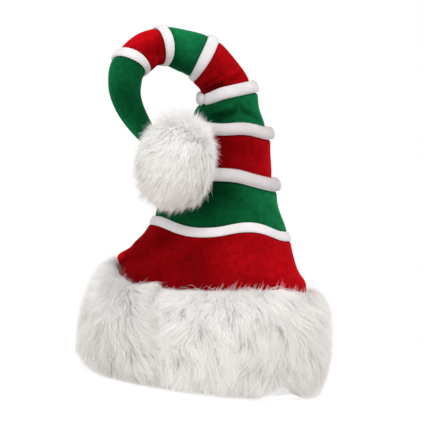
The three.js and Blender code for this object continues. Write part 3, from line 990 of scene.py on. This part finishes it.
class HAT_OT_piping(bpy.types.Operator):
    """Makes the white plush rolls on the seams"""

    bl_idname = "hat.piping"
    bl_label = "Piping"

    def execute(self, context):
        sizes, colours = context.scene.hat_sizes, context.scene.hat_colours
        material = plush_material("White plush", colours.piping)
        for number, row in enumerate(SEAM_ROWS, 1):
            mesh = closed_mesh(piping_rings(row), f"plush_piping_{number}")
            piece = dress(mesh, "white_piping", material, f"piping_{number}")
            add_smoothing(piece)
        rng = np.random.default_rng(5)
        *strands, ways, widths = piping_nap(sizes.nap_strands, sizes.nap_length, rng)
        tones = rng.random(len(widths))
        colour = scaled(colours.piping, 0.93)
        material = strand_material("Piping nap", colour, 1.0, (0.95, 0.94, 0.93), 0.4)
        add_strands("piping_nap", "white_piping", material, strands, ways, widths, tones, NAP_STEPS, rng, 0.6)
        return {"FINISHED"}


# Fur cuff


def cuff_place(profile, share, angle):
    """Points on a profile of the cuff, a share of the way down and at these angles."""
    out = np.interp(share, profile[:, 0], profile[:, 1])
    z = np.interp(share, profile[:, 0], profile[:, 2])
    near = beside(angle[..., None], CUFF_LIFTS[:, 0], CUFF_LIFTS[:, 1])
    low = np.clip(1 - z[..., None] / CUFF_LIFTS[:, 3], 0, 1)
    lift = (near * low) @ CUFF_LIFTS[:, 2]
    return cuff_point(out, z + lift, angle)


def cuff_point(out, z, angle):
    """Points at a distance from the hem's cloth and at a height, with the top edge's dip."""
    out, z, angle = np.broadcast_arrays(np.asarray(out, float), z, angle)
    points = skin(np.zeros_like(out), angle, out)
    drop = beside(angle[..., None], CUFF_DIPS[:, 0], CUFF_DIPS[:, 1]) @ CUFF_DIPS[:, 2]
    points[..., 2] = MM * np.where(z > CUFF_LIP["height"], z - drop * z / CUFF_TOP, z)
    return points


def cuff_ways(share, angle):
    """The ways in which the fur leaves the backing at these places, and the level ways out."""
    hem = np.zeros_like(angle)
    level = unit(skin(hem, angle, 1.0) - skin(hem, angle))
    slant = np.radians(np.interp(share, BACKING_PROFILE[:, 0], BACKING_PROFILE[:, 3]))[:, None]
    return np.cos(slant) * level + np.sin(slant) * [0, 0, 1], level


def cuff_strands(middle, count, rng):
    """Roots, bends and tips of the fur on a quarter of the cuff, the ways it faces, and its tones."""
    turn, fall = spread_evenly(count, 1)
    angle = middle + SECTOR_SPREAD * (turn - 0.5)
    share = 0.01 + 0.99 * fall ** CREST["crowding"]
    roots = cuff_place(BACKING_PROFILE, share, angle)
    ways, level = cuff_ways(share, angle)
    heading = np.interp(angle % 360, CUFF_HEADINGS[:, 0], CUFF_HEADINGS[:, 1])
    swirl = sum(degrees * ripple(roots, size, seed) for degrees, size, seed in CUFF_SWIRLS)
    heading += swirl * np.interp(share, *CUFF_CALM) + CUFF_TANGLE * rng.normal(0, 1, count)
    heading = np.radians(heading)
    lie = np.interp(share, CUFF_LIE[:, 0], CUFF_LIE[:, 1])
    waves = LIE_WAVES["share"] * ripple(roots, LIE_WAVES["size"], 9)
    lie *= 1 + waves + LIE_WAVES["single"] * rng.normal(0, 1, count)
    is_wisp = (share < WISPS["reach"]) & (rng.random(count) < WISPS["share"])
    lower = np.clip(np.where(is_wisp, 0, share + lie * np.cos(heading)), 0, 1)
    sideways = angle + lie * np.sin(heading) * FUR_REACH / FUR_PER_DEGREE
    sideways = np.where(is_wisp, angle - WISPS["lean"] * (0.5 + rng.random(count)), sideways)
    tips = cuff_place(TIP_PROFILE, lower, sideways)
    grown = uneven_growth(roots, CUFF_GROWTH, 13, rng)
    grown += np.where(is_wisp, WISPS["wave"] * ripple(roots, WISPS["size"], 15) - WISPS["shorter"], 0)
    grown += patches(share, angle, CUFF_LENGTHS) @ CUFF_LENGTHS[:, 4]
    tips = roots + np.clip(grown, *CUFF_LIMITS)[:, None] * (tips - roots)
    rise = CUFF_BEND["rise"] + CREST["rise"] * np.clip(1 - share / CREST["reach"], 0, 1)
    bends = curved(roots, tips, ways, {**CUFF_BEND, "rise": rise}, rng)
    locked_bends, locked_tips = gather_tips(roots, bends, tips, rng, **CUFF_LOCKS)
    held = np.where(is_wisp, 0, np.interp(share, *CUFF_HOLD))[:, None]
    tips = tips + held * (locked_tips - tips + FUR_STRAY * rng.normal(0, 1, tips.shape))
    bends = np.where(is_wisp[:, None], (roots + tips) / 2, locked_bends)
    tips[:, 2] = np.maximum(tips[:, 2], FLOOR_CLEARANCE + FLOOR_FRINGE * rng.random(count))
    bends[:, 2] = np.maximum(bends[:, 2], FLOOR_CLEARANCE)
    # painted shade: darker low down and at the right
    side = beside(angle, CUFF_SHADE["angle"], CUFF_SHADE["spread"])
    tones = CUFF_SHADE["tone"] - (CUFF_SHADE["low"] * share + CUFF_SHADE["side"] * side)
    return roots, bends, tips, unit(ways + CUFF_FACING * level), varied_tones(tones, rng)


class HAT_OT_fur_cuff(bpy.types.Operator):
    """Makes the cuff's backing and its long fur"""

    bl_idname = "hat.fur_cuff"
    bl_label = "Fur Cuff"

    def execute(self, context):
        sizes, colours = context.scene.hat_sizes, context.scene.hat_colours
        angles = angles_round(CUFF_ROW)
        rings = [cuff_place(BACKING_PROFILE, share, angles) for share in np.linspace(0, 1, 22)]
        lip, top = CUFF_LIP["out"], CUFF_LIP["height"]
        inside = [(1.0, 0.6), (lip, 1.0), (lip, top), (0.4, top + 0.1)]
        rings += [cuff_point(out, z, angles) for out, z in inside]
        mesh = closed_mesh(rings, "cuff_pelt")
        white = whiter(colours.fur, FUR_WHITENESS)
        pelt = dress(mesh, "white_fur", pelt_material("Fur undercoat", white), "fur_cuff")
        material = strand_material("Cuff fur", white, 0.98, (0.925, 0.913, 0.9), 0.45)
        for seed, (side, middle) in enumerate(CUFF_SECTORS):
            rng = np.random.default_rng(20 + seed)
            *strands, ways, tones = cuff_strands(middle, sizes.cuff_strands, rng)
            widths = sizes.fur_width * varied(len(tones), rng)
            name = f"cuff_fur_{side}"
            add_strands(name, "white_fur", material, strands, ways, widths, tones, STRAND_STEPS, rng, 0.4)
        return {"FINISHED"}


# Pompom


def pompom_strands(count, rng):
    """Roots, bends and tips of the pompom's fur, and the ways that it grows."""
    parting = -unit(POMPOM_FLOW)
    across = unit(np.cross(parting, FRONT))
    upwards = np.cross(parting, across)
    turn, away = spread_evenly(count, 1)
    height = 1 - 2 * away**POMPOM_CROWDING
    spoke = np.cos(2 * np.pi * turn)[:, None] * across + np.sin(2 * np.pi * turn)[:, None] * upwards
    ways = height[:, None] * parting + np.sqrt(1 - height**2)[:, None] * spoke
    roots = POMPOM_CENTRE + POMPOM_HALF * POMPOM_CORE * ways
    flow = -parting + ways * height[:, None]
    broad = [ripple(ways, POMPOM_SWAY["broad"], seed) for seed in (1, 2, 3)]
    fine = [ripple(ways, POMPOM_SWAY["fine"], seed) for seed in (6, 7, 8)]
    sway = np.stack(broad, 1) + POMPOM_SWAY["mix"] * np.stack(fine, 1)
    sway -= ways * (sway * ways).sum(1, keepdims=True)
    is_loose = ripple(ways, POMPOM_LOOSE["size"], 21) > POMPOM_LOOSE["above"]
    brushed = np.where(is_loose, POMPOM_LOOSE["brushed"], POMPOM_BRUSHED)
    lean = ways + brushed[:, None] * flow + POMPOM_SWAY["share"] * sway
    lean = unit(lean + POMPOM_SWAY["single"] * rng.normal(0, 1, lean.shape))
    grown = uneven_growth(ways, POMPOM_GROWTH, 4, rng) + POMPOM_LOOSE["growth"] * is_loose
    for patch in POMPOM_PATCHES:
        grown += patch["growth"] * hump(np.arccos(ways @ unit(patch["way"])) / patch["spread"])
    tips = POMPOM_CENTRE + POMPOM_HALF * lean * np.clip(grown, *POMPOM_LIMITS)[:, None]
    bends = curved(roots, tips, ways, POMPOM_BEND, rng)
    rim = np.interp(ways @ FRONT, POMPOM_RIM, [1, 0]) * np.interp(height, *POMPOM_PARTED)
    pull = (POMPOM_PULL["big"], POMPOM_PULL["smooth"] + POMPOM_PULL["sharp"] * rim)
    bends, tips = gather_tips(roots, bends, tips, rng, **POMPOM_LOCKS, pull=pull)
    tips += FUR_STRAY * (1 - POMPOM_NEAT * rim)[:, None] * rng.normal(0, 1, tips.shape)
    return roots, bends, tips, ways


class HAT_OT_pompom(bpy.types.Operator):
    """Makes the pompom's core and its long fur"""

    bl_idname = "hat.pompom"
    bl_label = "Pompom"

    def execute(self, context):
        sizes, colours = context.scene.hat_sizes, context.scene.hat_colours
        bm = bmesh.new()
        bmesh.ops.create_icosphere(bm, subdivisions=5, radius=1.0)
        for vertex in bm.verts:
            wave = 1 + POMPOM_LUMPS["depth"] * noise.noise(vertex.co * POMPOM_LUMPS["number"])
            place = np.array(vertex.co) * POMPOM_HALF * POMPOM_CORE * wave
            vertex.co = place + POMPOM_CENTRE
        mesh = finished_mesh(bm, "pompom_core")
        white = whiter(colours.fur, POMPOM_WHITENESS)
        core = dress(mesh, "white_fur", pelt_material("Pompom undercoat", white), "pompom")
        rng = np.random.default_rng(40)
        *strands, ways = pompom_strands(sizes.pompom_strands, rng)
        widths = POMPOM_WIDTH * sizes.fur_width * varied(len(ways), rng)
        # painted light and shade: lighter facing up, darker facing down
        tones = varied_tones(POMPOM_SHADE["tone"] + POMPOM_SHADE["up"] * ways[:, 2], rng)
        material = strand_material("Pompom fur", white, 1.0, (0.94, 0.915, 0.9), 0.55)
        add_strands("pompom_fur", "white_fur", material, strands, ways, widths, tones, STRAND_STEPS, rng, 0.4)
        return {"FINISHED"}


# Stage

CAMERA_PLACE = (-0.01, -1.25, 0.176)
CAMERA_LENS = 1187.0 / 424.0  # focal length as a share of the picture's width
CAMERA_SENSOR = 36.0
KEY_LIGHT = {"place": (0.2, -1.0, 1.35), "size": 0.9}
FILL_LIGHT = {"place": (-1.1, -1.1, 0.5), "size": 0.9}
LIGHT_TARGET = (0.0, 0.0, 0.16)


def soft_light(name, settings, power):
    """A square light that faces the hat."""
    data = bpy.data.lights.new(name, "AREA")
    data.size = settings["size"]
    data.energy = power
    light = bpy.data.objects.new(name, data)
    light.location = settings["place"]
    towards = Vector(LIGHT_TARGET) - Vector(settings["place"])
    light.rotation_euler = towards.to_track_quat("-Z", "Y").to_euler()
    bpy.context.scene.collection.objects.link(light)


class HAT_OT_stage(bpy.types.Operator):
    """Sets the floor, the light and the camera"""

    bl_idname = "hat.stage"
    bl_label = "Stage"

    def execute(self, context):
        scene, settings = context.scene, context.scene.hat_stage
        bm = bmesh.new()
        bmesh.ops.create_circle(bm, cap_ends=True, segments=96, radius=2.0)
        bmesh.ops.translate(bm, verts=bm.verts[:], vec=(0, 0, -0.0004))
        floor = bpy.data.objects.new("pale_floor", finished_mesh(bm, "pale_floor"))
        floor.data.materials.append(floor_material("Pale floor"))
        scene.collection.objects.link(floor)
        world = bpy.data.worlds.new("White studio")
        world.use_nodes = True
        tree = world.node_tree
        tree.nodes.clear()
        output = tree.nodes.new("ShaderNodeOutputWorld")
        mix = tree.nodes.new("ShaderNodeMixShader")
        path = tree.nodes.new("ShaderNodeLightPath")
        tree.links.new(path.outputs["Is Camera Ray"], mix.inputs["Fac"])
        for slot, strength in ((1, settings.sky), (2, 1.0)):
            sky = tree.nodes.new("ShaderNodeBackground")
            sky.inputs["Color"].default_value = (1, 1, 1, 1)
            sky.inputs["Strength"].default_value = strength
            tree.links.new(sky.outputs["Background"], mix.inputs[slot])
        tree.links.new(mix.outputs["Shader"], output.inputs["Surface"])
        scene.world = world
        scene.view_settings.view_transform = "Standard"
        soft_light("Key light", KEY_LIGHT, settings.key)
        soft_light("Fill light", FILL_LIGHT, settings.fill)
        data = bpy.data.cameras.new("Camera")
        data.sensor_width = CAMERA_SENSOR
        data.lens = CAMERA_LENS * CAMERA_SENSOR
        camera = bpy.data.objects.new("Camera", data)
        camera.location = CAMERA_PLACE
        camera.rotation_euler = Euler((math.pi / 2, -settings.roll, 0), "XYZ")
        scene.collection.objects.link(camera)
        scene.camera = camera
        return {"FINISHED"}


class HAT_PT_panel(bpy.types.Panel):
    """The hat's pieces and settings"""

    bl_idname = "HAT_PT_panel"
    bl_label = "Striped Plush Hat"
    bl_space_type = "VIEW_3D"
    bl_region_type = "UI"
    bl_category = "Hat"

    def draw(self, context):
        for operator in OPERATORS:
            self.layout.operator(operator.bl_idname)
        for group in (context.scene.hat_sizes, context.scene.hat_colours, context.scene.hat_stage):
            for name in group.__annotations__:
                self.layout.prop(group, name)


OPERATORS = (HAT_OT_velour_bands, HAT_OT_piping, HAT_OT_fur_cuff, HAT_OT_pompom, HAT_OT_stage)
GROUPS = {"hat_sizes": HatSizes, "hat_colours": HatColours, "hat_stage": HatStage}
CLASSES = (*GROUPS.values(), *OPERATORS, HAT_PT_panel)


def register():
    for item in CLASSES:
        bpy.utils.register_class(item)
    for name, group in GROUPS.items():
        setattr(bpy.types.Scene, name, PointerProperty(type=group))


def unregister():
    for name in GROUPS:
        delattr(bpy.types.Scene, name)
    for item in reversed(CLASSES):
        bpy.utils.unregister_class(item)


def main():
    register()
    bpy.ops.hat.velour_bands()
    bpy.ops.hat.piping()
    bpy.ops.hat.fur_cuff()
    bpy.ops.hat.pompom()
    bpy.ops.hat.stage()


if __name__ == "__main__":
    main()
